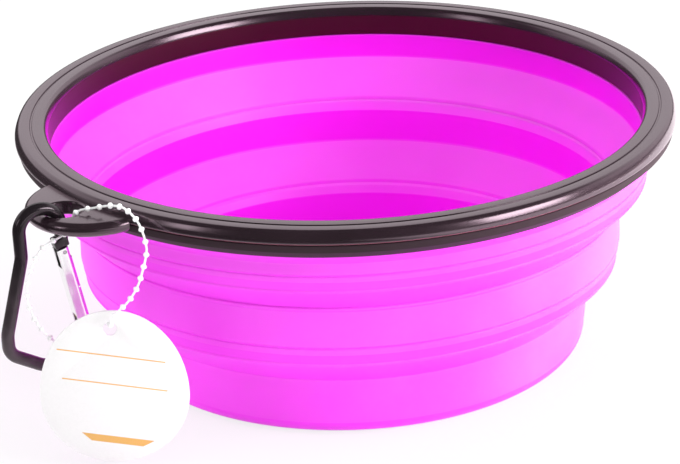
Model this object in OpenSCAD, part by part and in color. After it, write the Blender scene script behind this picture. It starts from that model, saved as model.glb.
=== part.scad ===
// Collapsible silicone bowl with a two-part rim, a hanging lug, a carabiner and a hang tag.
// Millimetres. The origin is the centre of the base on the table, +Z is up, the lug points along -X.

/* [Rim] */
// Outside diameter of the rim
rim_d = 180; // [160:1:210]
// Radial width of the upper ring
rim_w = 9.1; // [8.6:0.1:12]
// Height of the upper ring above the silicone flange
ring_h = 3.4; // [3.2:0.1:6]
// Rounding of the upper ring's outer top edge
ring_edge_r = 2.3; // [0.8:0.1:2.4]
// Rounding of the upper ring's inner top edge
ring_inner_r = 1.8; // [0.6:0.1:1.9]
// Rounding of the upper ring's lower edge
ring_small_r = 0.6; // [0.3:0.1:0.8]
// Thickness of the skirt that hangs inside the silicone
skirt_t = 1.6; // [1.2:0.1:2]
// Width of the groove in the rim's top face
groove_w = 0.8; // [0.5:0.1:1.4]
// Depth of the groove in the rim's top face
groove_depth = 0.5; // [0.3:0.1:1]
// Distance of the groove from the rim's outer edge
groove_inset = 4.5; // [3.5:0.1:6]
// Height of the lower clamp ring
clamp_h = 4.2; // [2.8:0.1:5]
// How far the clamp ring's side stands back from the rim's edge
clamp_inset = 0.8; // [0.6:0.1:1.4]
// How far the clamp ring's foot stands back from the rim's edge
clamp_foot_inset = 3.4; // [2.4:0.1:3.8]
// Height of the clamp ring's straight side
clamp_side_h = 1.9; // [0.6:0.1:2.2]
// Number of pegs that pin the two rings together
peg_count = 12; // [6:1:20]
// Diameter of a peg
peg_d = 1.6; // [1:0.1:1.9]
// How deep a peg sits in the clamp ring
peg_reach = 1.4; // [0.8:0.1:1.8]

/* [Silicone] */
// Wall thickness of the silicone
wall_t = 2.2; // [1.8:0.1:2.4]
// How far the silicone stands inside the skirt's face
wall_lip = 0.3; // [0.1:0.1:0.6]
// Thickness of the clamped flange
flange_t = 0.6; // [0.4:0.1:1.4]
// How far the flange's edge stands back from the rim's edge
flange_inset = 0.5; // [0.3:0.1:0.9]
// Height of the upper wall below the clamp ring
upper_wall_h = 7.3; // [6:0.1:14]
// Height of the flare that leads into the clamped neck
flare_h = 3; // [2:0.1:4]
// Height of the upper fold
upper_fold_h = 11.8; // [9:0.1:14]
// Step inwards across the upper fold
upper_step = 8; // [7:0.1:10]
// Height of the middle wall
middle_wall_h = 11.7; // [9:0.1:18]
// How much narrower the middle wall is at its top
middle_draft = 0.4; // [0.2:0.1:2.5]
// Height of the lower fold
lower_fold_h = 12.7; // [9:0.1:14]
// Step inwards across the lower fold
lower_step = 8.9; // [7:0.1:11]
// Height of the base cup
base_cup_h = 16.8; // [14:0.1:26]
// How much wider the base cup is at its top
base_draft = 1.4; // [0.3:0.1:2]
// Rounding of the base's lower edge
base_edge_r = 5; // [3:0.1:6]

/* [Lug] */
// How far the lug stands out from the rim
lug_reach = 14; // [12:0.1:18]
// Width of the lug's round outline
lug_w = 35.2; // [30:0.1:40]
// Thickness of the lug
lug_t = 3.7; // [3:0.1:3.8]
// How far the lug's top lies below the rim's top
lug_step = 2; // [0.8:0.1:2.2]
// Diameter of the eye
eye_d = 10.6; // [10:0.1:12]
// Width of the bar between the eye and the lug's edge
eye_bar = 2.7; // [2.4:0.1:3]
// Rounding of the eye's edges
eye_edge_r = 0.8; // [0.3:0.1:1.2]

/* [Carabiner] */
// Diameter of the rod
rod_d = 3.4; // [3:0.1:3.6]
// Radius of the hook at the middle of the rod
hook_r = 5.6; // [5.4:0.1:6.4]
// Turn of the carabiner about the upright, away from the rim's radius, in degrees
carabiner_turn = 14; // [0:1:18]
// How far the hook's middle lies outside the bar's middle
hook_shift = 1; // [0.8:0.1:1.2]
// How far the hook's middle lies below the lug's middle
hook_drop = 1.4; // [1:0.1:1.5]
// How far the spine's waist lies below the hook's middle
waist_drop = 6.5; // [6:0.1:9]
// How much the waist draws in
waist_in = 0.1; // [0:0.1:0.6]
// How far the spine's shoulder lies below the hook's middle
shoulder_drop = 26.5; // [22:0.5:27]
// How far the spine stands out from the hook's middle at its lower corner
corner_out = 11; // [10.5:0.1:13]
// How far the spine's lower corner lies below the hook's middle
corner_drop = 31.8; // [31.5:0.1:36]
// How far the loop's bottom lies below the hook's middle, before it is rounded
bottom_drop = 38.4; // [37:0.1:44]
// How far the heel under the gate stands inwards from the hook's middle
heel_in = 10.8; // [10.4:0.1:12]
// How far the heel lies below the hook's middle
heel_drop = 34.2; // [34:0.1:36]
// Bend radius of the spine's waist and shoulder
bend_r = 8; // [6:0.5:10]
// Bend radius of the spine's lower corner
corner_r = 4.4; // [3:0.1:5]
// Bend radius of the corner under the gate
heel_r = 2.4; // [2:0.1:2.6]
// Bend radius of the loop's bottom
bottom_r = 8; // [5:0.5:10]
// How far the gate's pivot stands inwards from the hook's middle
pivot_in = 10; // [9:0.1:11]
// How far the gate's pivot lies below the hook's middle
pivot_drop = 28.6; // [27:0.1:28.8]
// How far the latch pin stands inwards from the hook's middle
latch_in = 5.6; // [5:0.1:6.2]
// How far the latch pin lies below the hook's middle
latch_drop = 6.8; // [6.6:0.1:8.5]

/* [Gate] */
// Width of the gate's channel
gate_w = 3.6; // [3.5:0.1:4.2]
// Sheet thickness of the gate
gate_sheet = 0.5; // [0.3:0.1:0.5]
// How far the channel's lips stand out towards the spine
gate_lip = 1.9; // [1.2:0.1:2.2]
// Diameter of the pivot pin
pivot_d = 1.3; // [1:0.1:1.5]
// Diameter of the pivot pin's heads
pivot_head_d = 2.6; // [2.2:0.1:3]
// Height of the pivot pin's heads
pivot_head_h = 0.5; // [0.3:0.1:0.8]
// Diameter of the latch pin
latch_d = 1; // [0.8:0.1:1.2]
// Thickness of the carabiner's flat tongues
tongue_t = 1.8; // [1.4:0.1:1.9]
// Width of the carabiner's flat tongues
tongue_w = 2.8; // [2.4:0.1:2.9]
// Width of the nose block above the gate
nose_w = 3.8; // [3.4:0.1:4.4]
// Height of the nose block above the gate
nose_h = 2.6; // [2.2:0.1:3]
// Diameter of the plunger in the gate
plunger_d = 2; // [1.6:0.1:2.2]
// Length of the plunger in the gate
plunger_len = 3.4; // [2.5:0.1:5]
// Outside diameter of the gate's spring
spring_d = 2; // [1.7:0.1:2.2]
// Wire diameter of the gate's spring
spring_wire = 0.4; // [0.3:0.05:0.45]
// Length of the gate's spring
spring_len = 6; // [5:0.1:9]
// Number of turns in the gate's spring
spring_turns = 6; // [4:1:7]

/* [Tag] */
// Width of the tag
tag_w = 38; // [30:0.5:40]
// Height of the tag
tag_h = 42.5; // [36:0.5:42.5]
// Thickness of the tag's card
tag_t = 0.6; // [0.3:0.1:0.8]
// Diameter of the tag's hole
tag_hole_d = 3.6; // [3:0.1:4.5]
// Distance of the hole's edge from the tag's top
tag_hole_edge = 3.2; // [2.5:0.1:4]
// Turn of the tag about the upright, in degrees
tag_turn = 41; // [35:1:45]
// Diameter of the tie's thread
tie_d = 0.9; // [0.6:0.1:1.2]
// Diameter of the tie's lock
lock_d = 2.8; // [2:0.1:3.2]

/* [Hidden] */
$fn = 72;

// Clearance of a seated piece, of a running pin and of the gate's moving ends
fit_gap = 0.15;
pin_gap = 0.04;
gate_gap = 0.3;
// One overrun for every cut
over = 1;
// The rod's bends are a touch thicker than its straights, which run a little way into them
bend_swell = 0.04;
bend_lap = 0.25;
// The flat on top of the hook
hook_flat = 0.4;
// Points on each rounded corner, and sides of the wire and thread
arc_steps = 6;
cord_sides = 8;
wire_sides = 6;
turn_rings = 8;
tag_sides = 72;

// Where each fold bends: share of its step and of its height, from its lower end
upper_knee_shares = [0.82, 0.6];
lower_knee_shares = [0.83, 0.575];

// Heights of the silicone's fold lines and of the rim's faces
lower_fold_z = base_cup_h;
middle_wall_z = lower_fold_z + lower_fold_h;
upper_fold_z = middle_wall_z + middle_wall_h;
upper_wall_z = upper_fold_z + upper_fold_h;
clamp_z = upper_wall_z + upper_wall_h;
flange_z = clamp_z + clamp_h;
ring_z = flange_z + flange_t;
rim_z = ring_z + ring_h;
skirt_z = clamp_z + fit_gap;
flare_z = clamp_z - flare_h;

// Radii, from the rim inwards
rim_r = rim_d / 2;
ring_in_r = rim_r - rim_w;
skirt_r = ring_in_r + skirt_t;
neck_in_r = skirt_r + fit_gap;
neck_r = neck_in_r + wall_t;
clamp_in_r = neck_r + fit_gap;
clamp_r = rim_r - clamp_inset;
clamp_foot_r = rim_r - clamp_foot_inset;
flange_r = rim_r - flange_inset;
groove_r = rim_r - groove_inset;
upper_r = ring_in_r - wall_lip + wall_t;
middle_r = upper_r - upper_step;
middle_top_r = middle_r - middle_draft;
base_top_r = middle_r - lower_step;
base_r = base_top_r - base_draft;
peg_circle_r = (clamp_in_r + clamp_foot_r) / 2 + peg_d / 2;

// The lug and its eye
lug_r = lug_w / 2;
lug_tip_r = rim_r + lug_reach;
lug_x = -(lug_tip_r - lug_r);
lug_top_z = rim_z - lug_step;
lug_mid_z = lug_top_z - lug_t / 2;
eye_x = -(lug_tip_r - eye_bar - eye_d / 2);

// The hook's middle, and the carabiner's own places as [outwards, up] from there
hook_at = [-(lug_tip_r - eye_bar / 2 + hook_shift), 0, lug_mid_z - hook_drop];
gate_pivot = [-pivot_in, -pivot_drop];
latch_at = [-latch_in, -latch_drop];
gate_len = norm(latch_at - gate_pivot);
gate_tilt = atan2(latch_at.x - gate_pivot.x, latch_at.y - gate_pivot.y);
hook_bend_r = hook_r - hook_flat / 2;
tongue_r = tongue_w / 2;
gate_in_r = gate_w / 2 - gate_sheet;
tip_z = gate_len + latch_d;
nose_z = tip_z + gate_gap;
nose_len = latch_drop - (nose_z - gate_len) - nose_h / 2;
back_cut_z = gate_len - 2 * latch_d - gate_gap;
plunger_z = tongue_r + fit_gap;
spring_z = plunger_z + plunger_len + fit_gap;
crimp_z = spring_z + spring_len + fit_gap;
tongue_root = pivot_drop + tongue_w;
tongue_len = tongue_w + rod_d / 2;

// The carabiner's rod, from its nose over the hook and down the spine to the pivot's tongue
rod_points = [
    [-hook_r, -nose_len],
    [-hook_r, hook_r],
    [hook_r, hook_r],
    [hook_r - waist_in, -waist_drop],
    [corner_out, -shoulder_drop],
    [corner_out, -corner_drop],
    [0, -bottom_drop],
    [-heel_in, -heel_drop],
    [-pivot_in, -tongue_root],
];
rod_bends = [0, hook_bend_r, hook_bend_r, bend_r, bend_r, corner_r, bottom_r, heel_r, 0];

// The tie's route: from its lock through the tag, up over the lug, down through the eye and back
tie_route = [
    [-97.6, -13.2, 37.5], [-97.6, -13.2, 38.6], [-97.3, -13.8, 39.8], [-96.9, -15.3, 40.5], [-97, -17.5, 40.5],
    [-97.8, -18.9, 41], [-98.1, -19.6, 42.5], [-97, -20.7, 44.6], [-95, -22.5, 47], [-94, -24.5, 50],
    [-93, -26, 53.5], [-91.5, -27.5, 60.5], [-91, -27, 63.5], [-90.5, -25, 66.5], [-90, -22, 68.5],
    [-90, -17.5, 70], [-90.5, -13, 69.5], [-91.8, -9.8, 68.6], [-93.2, -7.4, 67.9], [-94.6, -5.7, 67.5],
    [-95.8, -4.6, 66.6], [-96.4, -4, 65.1], [-97.1, -4.1, 63.5], [-99.2, -4.3, 62], [-102.2, -4, 61.2],
    [-105, -3.4, 60.2], [-107.1, -3.1, 58.4], [-108.8, -2.9, 55.9], [-110.1, -2.7, 53], [-110.9, -2.7, 49.9],
    [-111, -2.9, 46.6], [-110.4, -3.4, 43.2], [-109.2, -4.2, 39.9], [-107.5, -5.4, 36.8], [-105.3, -7, 34.1],
    [-102.9, -8.8, 32], [-100.6, -10.6, 30.8], [-98.8, -12.1, 30.7], [-97.8, -13, 31.8], [-97.6, -13.2, 33.5],
];
// The route's point that the tag hangs on
tag_hang = tie_route[4];
tag_top_z = tag_hang.z + tie_d / 2 + fit_gap + tag_hole_edge;
tag_low_h = tag_w / 2;
tag_high_h = tag_h - tag_low_h;

// Small helpers
function unit(v) = v / norm(v);
function arc(centre, r, from, to) =
    [for (i = [0:arc_steps]) let (a = from + (to - from) * i / arc_steps) centre + r * [cos(a), sin(a)]];
function reversed(list) = [for (i = [len(list) - 1:-1:0]) list[i]];
function left_of(a, b) = let (d = unit(b - a)) [-d.y, d.x];
function turned(a) = a > 180 ? a - 360 : a < -180 ? a + 360 : a;

// A line moved sideways by t, to its left
function beside(line, t) =
    let (last = len(line) - 1)
    [for (i = [0:last])
        let (n1 = left_of(line[max(i - 1, 0)], line[max(i, 1)]),
             n2 = left_of(line[min(i, last - 1)], line[min(i + 1, last)]))
        line[i] + t * (n1 + n2) / (1 + n1 * n2)];

// Where a rising line crosses a height, and the stretch of it between two heights
function crossing(line, z) =
    [for (i = [1:len(line) - 1])
        let (a = line[i - 1], b = line[i])
        if (a.y < z && b.y >= z) a + (b - a) * (z - a.y) / (b.y - a.y)][0];
function stretch(line, from, to) =
    concat([crossing(line, from)], [for (p = line) if (p.y > from && p.y < to) p], [crossing(line, to)]);

// The silicone's outer and inner faces, from the middle of the base up to the flare
function knee(low, high, shares) = [low.x + (high.x - low.x) * shares.x, low.y + (high.y - low.y) * shares.y];
function silicone_outside() =
    let (base_top = [base_top_r, lower_fold_z],
         middle_low = [middle_r, middle_wall_z],
         middle_top = [middle_top_r, upper_fold_z],
         upper_low = [upper_r, upper_wall_z])
    concat([[0, 0]],
           arc([base_r - base_edge_r, base_edge_r], base_edge_r, -90, 0),
           [base_top, knee(base_top, middle_low, lower_knee_shares), middle_low,
            middle_top, knee(middle_top, upper_low, upper_knee_shares), upper_low,
            [upper_r, flare_z], [neck_r, clamp_z]]);
outside = silicone_outside();
inside = beside(outside, wall_t);

// One band of the silicone between two heights
module silicone_band(from, to) {
    rotate_extrude()
        polygon(concat(stretch(outside, from, to), reversed(stretch(inside, from, to))));
}

// Places copies round the rim for the pegs and their holes
module round_rim() {
    for (i = [0:peg_count - 1])
        rotate([0, 0, 360 * (i + 1 / 2) / peg_count])
            translate([peg_circle_r, 0, 0])
                children();
}

module peg_holes(from, h) {
    round_rim()
        translate([0, 0, from])
            cylinder(d = peg_d + 2 * fit_gap, h = h);
}

// The lug: a disc with a full round edge, left clear of the flange and the clamp ring
module lug() {
    difference() {
        translate([lug_x, 0, lug_mid_z])
            rotate_extrude()
                polygon(concat([[0, -lug_t / 2]],
                               arc([lug_r - lug_t / 2, 0], lug_t / 2, -90, 90),
                               [[0, lug_t / 2]]));
        cylinder(r = rim_r - ring_small_r, h = 2 * rim_z, center = true);
        translate([0, 0, lug_mid_z - lug_t])
            cylinder(r = rim_r + fit_gap, h = ring_z - lug_mid_z + lug_t);
        eye();
    }
}

// The eye with its edges rounded
module eye() {
    bell_r = eye_d / 2 + eye_edge_r;
    flat_h = lug_t / 2 - eye_edge_r;
    translate([eye_x, 0, lug_mid_z])
        rotate_extrude()
            polygon(concat([[0, -lug_t / 2 - over], [bell_r, -lug_t / 2 - over]],
                           arc([bell_r, -flat_h], eye_edge_r, 270, 180),
                           arc([bell_r, flat_h], eye_edge_r, 180, 90),
                           [[bell_r, lug_t / 2 + over], [0, lug_t / 2 + over]]));
}

module rim_top_ring() {
    groove_half = groove_w / 2;
    section = concat(
        [[ring_in_r, skirt_z], [skirt_r, skirt_z], [skirt_r, ring_z]],
        arc([rim_r - ring_small_r, ring_z + ring_small_r], ring_small_r, -90, 0),
        arc([rim_r - ring_edge_r, rim_z - ring_edge_r], ring_edge_r, 0, 90),
        [[groove_r + groove_half, rim_z], [groove_r + groove_half, rim_z - groove_depth],
         [groove_r - groove_half, rim_z - groove_depth], [groove_r - groove_half, rim_z]],
        arc([ring_in_r + ring_inner_r, rim_z - ring_inner_r], ring_inner_r, 90, 180));
    color([0.2, 0.18, 0.19]) {
        rotate_extrude()
            polygon(section);
        lug();
        round_rim()
            translate([0, 0, flange_z - peg_reach])
                cylinder(d = peg_d, h = flange_t + peg_reach + ring_small_r);
    }
}

module rim_clamp_ring() {
    section = [
        [clamp_in_r, clamp_z], [clamp_foot_r, clamp_z], [clamp_r, flange_z - clamp_side_h],
        [clamp_r, flange_z], [clamp_in_r, flange_z],
    ];
    color([0.26, 0.22, 0.24])
        difference() {
            rotate_extrude()
                polygon(section);
            peg_holes(flange_z - peg_reach - fit_gap, peg_reach + fit_gap + over);
        }
}

module upper_wall() {
    outer = concat(stretch(outside, upper_wall_z, clamp_z),
                   [[neck_r, flange_z], [flange_r, flange_z], [flange_r, ring_z]]);
    inner_low = stretch(inside, upper_wall_z, flare_z);
    inner = concat(inner_low, [[upper_r - wall_t, clamp_z], [neck_in_r, clamp_z], [neck_in_r, ring_z]]);
    color([0.96, 0.3, 0.95])
        difference() {
            rotate_extrude()
                polygon(concat(outer, reversed(inner)));
            peg_holes(flange_z - over, flange_t + 2 * over);
        }
}

module upper_fold() {
    color([0.9, 0.16, 0.82])
        silicone_band(upper_fold_z, upper_wall_z);
}

module middle_wall() {
    color([0.96, 0.3, 0.95])
        silicone_band(middle_wall_z, upper_fold_z);
}

module lower_fold() {
    color([0.9, 0.16, 0.82])
        silicone_band(lower_fold_z, middle_wall_z);
}

module base_cup() {
    outer = concat([for (p = outside) if (p.y < lower_fold_z) p], [crossing(outside, lower_fold_z)]);
    inner = concat([for (p = inside) if (p.y < lower_fold_z) p], [crossing(inside, lower_fold_z)]);
    color([0.96, 0.3, 0.95])
        rotate_extrude()
            polygon(concat(outer, reversed(inner)));
}

// Carries the carabiner's own frame: X outwards, Z up, the hook's middle at the origin
module at_hook() {
    translate(hook_at)
        rotate([0, 0, 180 - carabiner_turn])
            children();
}

// Carries the gate's own frame: Z along the gate from its pivot, X towards the spine
module at_gate() {
    at_hook()
        translate([gate_pivot.x, 0, gate_pivot.y])
            rotate([0, gate_tilt, 0])
                children();
}

// How far a rod's bend reaches along its two legs, and where the bend's centre is
function leg(a, b, c, r) = r == 0 ? 0 : r / tan(acos(unit(a - b) * unit(c - b)) / 2);
function bend_centre(a, b, c, r) =
    b + unit(unit(a - b) + unit(c - b)) * r / sin(acos(unit(a - b) * unit(c - b)) / 2);

// A round rod along points in the XZ plane, with a bend at each inner point
module rod(points, bends) {
    last = len(points) - 1;
    legs = [for (i = [0:last])
        i == 0 || i == last ? 0 : leg(points[i - 1], points[i], points[i + 1], bends[i])];
    cuts = [for (t = legs) t == 0 ? 0 : t - bend_lap];
    for (i = [1:last]) {
        way = unit(points[i] - points[i - 1]);
        from = points[i - 1] + way * cuts[i - 1];
        translate([from.x, 0, from.y])
            rotate([0, atan2(way.x, way.y), 0])
                cylinder(d = rod_d, h = norm(points[i] - points[i - 1]) - cuts[i - 1] - cuts[i]);
    }
    for (i = [1:last - 1]) {
        centre = bend_centre(points[i - 1], points[i], points[i + 1], bends[i]);
        start = points[i] + unit(points[i - 1] - points[i]) * legs[i] - centre;
        end = points[i] + unit(points[i + 1] - points[i]) * legs[i] - centre;
        sweep = turned(atan2(end.y, end.x) - atan2(start.y, start.x));
        first = sweep > 0 ? start : end;
        translate([centre.x, 0, centre.y])
            rotate([90, 0, 0])
                rotate([0, 0, atan2(first.y, first.x)])
                    rotate_extrude(angle = abs(sweep))
                        translate([bends[i], 0])
                            circle(d = rod_d + bend_swell);
    }
}

// A pin across the gate
module cross_pin(d, h) {
    rotate([90, 0, 0])
        cylinder(d = d, h = h, center = true);
}

module carabiner_body() {
    slot_w = latch_d + 2 * fit_gap;
    color([0.1, 0.09, 0.1]) {
        at_hook()
            rod(rod_points, rod_bends);
        // The nose block and its tongue, notched for the latch pin
        at_gate() {
            translate([-nose_w / 2, -rod_d / 2, nose_z])
                cube([nose_w, rod_d, nose_h]);
            difference() {
                translate([-tongue_r, -tongue_t / 2, gate_len - 2 * latch_d])
                    cube([tongue_w, tongue_t, nose_z - gate_len + 2 * latch_d]);
                translate([0, 0, gate_len])
                    cross_pin(slot_w, 2 * tongue_t);
                translate([0, -tongue_t, gate_len - slot_w / 2])
                    cube([tongue_w, 2 * tongue_t, slot_w]);
            }
        }
        // The pivot's tongue
        at_hook()
            translate([gate_pivot.x, 0, gate_pivot.y])
                difference() {
                    union() {
                        cross_pin(tongue_w, tongue_t);
                        translate([-tongue_r, -tongue_t / 2, -tongue_len])
                            cube([tongue_w, tongue_t, tongue_len]);
                    }
                    cross_pin(pivot_d + 2 * pin_gap, 2 * tongue_t);
                }
    }
}

// The gate: a folded channel, open towards the spine, with a crimp that seats its spring
module carabiner_gate() {
    ear_low = tongue_w * 3 / 4;
    long = tip_z + ear_low;
    color([0.86, 0.84, 0.85])
        at_gate()
            difference() {
                union() {
                    difference() {
                        translate([0, 0, -ear_low])
                            channel(gate_w / 2, gate_lip, long);
                        translate([0, 0, -ear_low - over])
                            channel(gate_in_r, gate_lip + over, long + 2 * over);
                    }
                    translate([0, 0, crimp_z])
                        channel(gate_in_r + gate_sheet / 2, gate_lip / 2, gate_sheet);
                }
                // The back is open at the pivot and at the nose's tongue
                translate([-gate_w, -gate_w, -ear_low - over])
                    cube([gate_w, 2 * gate_w, ear_low + over + tongue_r]);
                translate([-gate_w, -gate_in_r, back_cut_z])
                    cube([gate_w, 2 * gate_in_r, long]);
                cross_pin(pivot_d + 2 * pin_gap, 2 * gate_w);
                translate([0, 0, gate_len])
                    cross_pin(latch_d + 2 * pin_gap, 2 * gate_w);
            }
}

// A solid bar with a round back and flat lips
module channel(r, lip, h) {
    cylinder(r = r, h = h);
    translate([0, -r, 0])
        cube([lip, 2 * r, h]);
}

module gate_pivot_pin() {
    color([0.7, 0.7, 0.72])
        at_gate() {
            cross_pin(pivot_d, gate_w + 2 * fit_gap + pivot_head_h);
            for (side = [-1, 1])
                translate([0, side * (gate_w / 2 + fit_gap + pivot_head_h / 2), 0])
                    cross_pin(pivot_head_d, pivot_head_h);
        }
}

module gate_latch_pin() {
    color([0.7, 0.7, 0.72])
        at_gate()
            translate([0, 0, gate_len])
                cross_pin(latch_d, gate_w);
}

module gate_plunger() {
    color([0.72, 0.6, 0.3])
        at_gate()
            translate([0, 0, plunger_z])
                cylinder(d = plunger_d, h = plunger_len);
}

// A tube through a list of points: each ring is square to the route and keeps its turn from the last
function along(line, i) = unit(line[min(i + 1, len(line) - 1)] - line[max(i - 1, 0)]);
function square_to(v, t) = unit(v - (v * t) * t);
function ring_sides(line, v, i = 0) =
    let (n = square_to(v, along(line, i)))
    i == len(line) - 1 ? [n] : concat([n], ring_sides(line, n, i + 1));
module tube(line, d, sides, first_side) {
    normals = ring_sides(line, first_side);
    last = len(line) - 1;
    points = [for (i = [0:last])
        let (n = normals[i], b = cross(along(line, i), n))
        for (k = [0:sides - 1])
            line[i] + d / 2 * (cos(360 * k / sides) * n + sin(360 * k / sides) * b)];
    skin = [for (i = [0:last - 1])
        for (k = [0:sides - 1])
            let (a = i * sides + k, b = i * sides + (k + 1) % sides)
            for (face = [[a, b + sides, b], [a, a + sides, b + sides]])
                face];
    caps = [[for (k = [0:sides - 1]) k], [for (k = [sides - 1:-1:0]) last * sides + k]];
    polyhedron(points, concat(skin, caps), convexity = 10);
}

// A smooth line through route points, with one more point in the middle of each stretch
function halfway(a, b, c, d) = (9 * (b + c) - a - d) / 16;
function smooth(line) =
    let (last = len(line) - 1)
    concat([for (i = [0:last - 1])
        for (p = [line[i], halfway(line[max(i - 1, 0)], line[i], line[i + 1], line[min(i + 2, last)])]) p],
        [line[last]]);

// The gate's spring: one wire in even turns
module gate_spring() {
    mid_r = (spring_d - spring_wire) / 2;
    rise = spring_len - spring_wire;
    rings = spring_turns * turn_rings;
    helix = [for (i = [0:rings])
        let (a = 360 * i / turn_rings)
        [mid_r * cos(a), mid_r * sin(a), spring_wire / 2 + rise * i / rings]];
    echo(spring_gap = rise / spring_turns - spring_wire);
    color([0.75, 0.75, 0.77])
        at_gate()
            translate([0, 0, spring_z])
                tube(helix, spring_wire, wire_sides, [1, 0, 0]);
}

module tag_tie() {
    color([0.95, 0.95, 0.95])
        tube(smooth(tie_route), tie_d, cord_sides, [1, 0, 0]);
}

// The lock that joins the tie's two ends
module tie_lock() {
    low = tie_route[len(tie_route) - 1];
    high = tie_route[0];
    color([0.95, 0.95, 0.95])
        translate(low)
            cylinder(d = lock_d, h = high.z - low.z);
}

// The tag: round below and drawn out above, with its hole at the top
module hang_tag() {
    outline = [for (i = [0:tag_sides - 1])
        let (a = 360 * i / tag_sides)
        [tag_w / 2 * cos(a), (a < 180 ? tag_high_h : tag_low_h) * sin(a)]];
    color([0.97, 0.96, 0.94])
        translate([tag_hang.x, tag_hang.y, tag_top_z - tag_high_h])
            rotate([90, 0, -tag_turn])
                difference() {
                    linear_extrude(tag_t, center = true)
                        polygon(outline);
                    translate([0, tag_high_h - tag_hole_edge - tag_hole_d / 2, 0])
                        cylinder(d = tag_hole_d, h = 2 * tag_t, center = true);
                }
}

rim_top_ring();
rim_clamp_ring();
upper_wall();
upper_fold();
middle_wall();
lower_fold();
base_cup();
carabiner_body();
carabiner_gate();
gate_pivot_pin();
gate_latch_pin();
gate_plunger();
gate_spring();
tag_tie();
tie_lock();
hang_tag();
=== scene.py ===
"""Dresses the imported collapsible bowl: silicone walls, clamped rim, carabiner, beaded tie and hang tag."""

from __future__ import annotations

import logging
import math
from dataclasses import dataclass
from enum import Enum, IntEnum
from typing import Mapping, Optional, Sequence, Union

import bpy
from mathutils import Matrix, Vector

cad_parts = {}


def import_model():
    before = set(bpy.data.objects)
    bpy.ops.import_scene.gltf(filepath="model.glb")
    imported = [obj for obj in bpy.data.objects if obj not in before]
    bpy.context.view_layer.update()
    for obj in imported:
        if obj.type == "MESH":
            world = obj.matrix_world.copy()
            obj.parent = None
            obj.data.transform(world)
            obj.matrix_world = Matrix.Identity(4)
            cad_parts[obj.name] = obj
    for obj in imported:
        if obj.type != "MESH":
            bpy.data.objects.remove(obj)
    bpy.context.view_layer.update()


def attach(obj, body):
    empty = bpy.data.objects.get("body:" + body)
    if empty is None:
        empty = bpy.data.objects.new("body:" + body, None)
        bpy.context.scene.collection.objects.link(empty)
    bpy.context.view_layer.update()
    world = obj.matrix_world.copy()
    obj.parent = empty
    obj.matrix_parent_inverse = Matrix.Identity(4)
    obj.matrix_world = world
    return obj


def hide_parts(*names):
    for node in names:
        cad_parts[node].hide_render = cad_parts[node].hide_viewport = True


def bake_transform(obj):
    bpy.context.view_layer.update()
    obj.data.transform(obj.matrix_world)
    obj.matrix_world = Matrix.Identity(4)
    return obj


log = logging.getLogger("bowl")

MM = 0.001
FULL_TURN = 2 * math.pi
UP = (0.0, 0.0, 1.0)
WHITE = (1.0, 1.0, 1.0, 1.0)
LAID_DOWN = Matrix.Rotation(math.pi / 2, 4, "X")

Piece = bpy.types.Object
Flat = tuple[float, float]
Place = Sequence[float]


class Body(str, Enum):
    """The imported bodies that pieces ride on."""

    RIM = "rim"
    MIDDLE = "middle"
    BASE = "base"
    CARABINER = "carabiner"
    GATE = "gate"
    TAG = "tag"


class Slot(str, Enum):
    """The record's material slots."""

    RIM = "rim_plastic"
    SILICONE = "silicone"
    PAINT = "carabiner_paint"
    GATE = "gate_metal"
    PIN = "pin_steel"
    PLUNGER = "plunger_brass"
    TIE = "tie_plastic"
    CARD = "tag_card"


class Mix(str, Enum):
    """How one solid is worked into another."""

    CUT = "DIFFERENCE"
    JOIN = "UNION"


class Skin(IntEnum):
    """The silicone's materials, in their order on a piece: the plain one, then lit and shaded copies that paint
    light and shade.
    """

    PLAIN = 0
    SLOPE = 1
    RISER = 2
    WEB = 3
    FLANGE = 4


class Ray(IntEnum):
    """Outputs of the Light Path node."""

    CAMERA = 0
    GLOSSY = 3
    THROUGH = 6


class Coordinates(IntEnum):
    """Outputs of the Texture Coordinate node."""

    GENERATED = 0
    OBJECT = 3


# Shader graph


class Value:
    """One output socket whose arithmetic adds Math nodes to its graph."""

    def __init__(self, graph: "Graph", socket: bpy.types.NodeSocket) -> None:
        """Keep the socket and its graph."""
        self.graph = graph
        self.socket = socket

    def _math(self, operation: str, first: "Term", second: "Term") -> "Value":
        """Add one Math node.

        Args:
            operation: The node's operation.
            first: Its first term.
            second: Its second term.

        Returns:
            The node's result.
        """
        return self.graph.node("ShaderNodeMath", {"operation": operation}, {0: first, 1: second})[0]

    def __add__(self, other: "Term") -> "Value":
        """Self plus other."""
        return self._math("ADD", self, other)

    __radd__ = __add__

    def __sub__(self, other: "Term") -> "Value":
        """Self minus other."""
        return self._math("SUBTRACT", self, other)

    def __rsub__(self, other: "Term") -> "Value":
        """Other minus self."""
        return self._math("SUBTRACT", other, self)

    def __mul__(self, other: "Term") -> "Value":
        """Self times other."""
        return self._math("MULTIPLY", self, other)

    __rmul__ = __mul__

    def larger(self, other: "Term") -> "Value":
        """The larger of the two."""
        return self._math("MAXIMUM", self, other)

    def size(self) -> "Value":
        """The value without its sign."""
        return self._math("ABSOLUTE", self, 0.0)

    def rise(self, low: float, high: float) -> "Value":
        """A smooth step from 0 at low to 1 at high.

        Args:
            low: Where the step starts.
            high: Where it ends.

        Returns:
            The step's value.
        """
        settings = {"interpolation_type": "SMOOTHSTEP"}
        return self.graph.node("ShaderNodeMapRange", settings, {0: self, 1: low, 2: high, 3: 0.0, 4: 1.0})[0]


Term = Union[Value, float, Sequence[float]]


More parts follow.
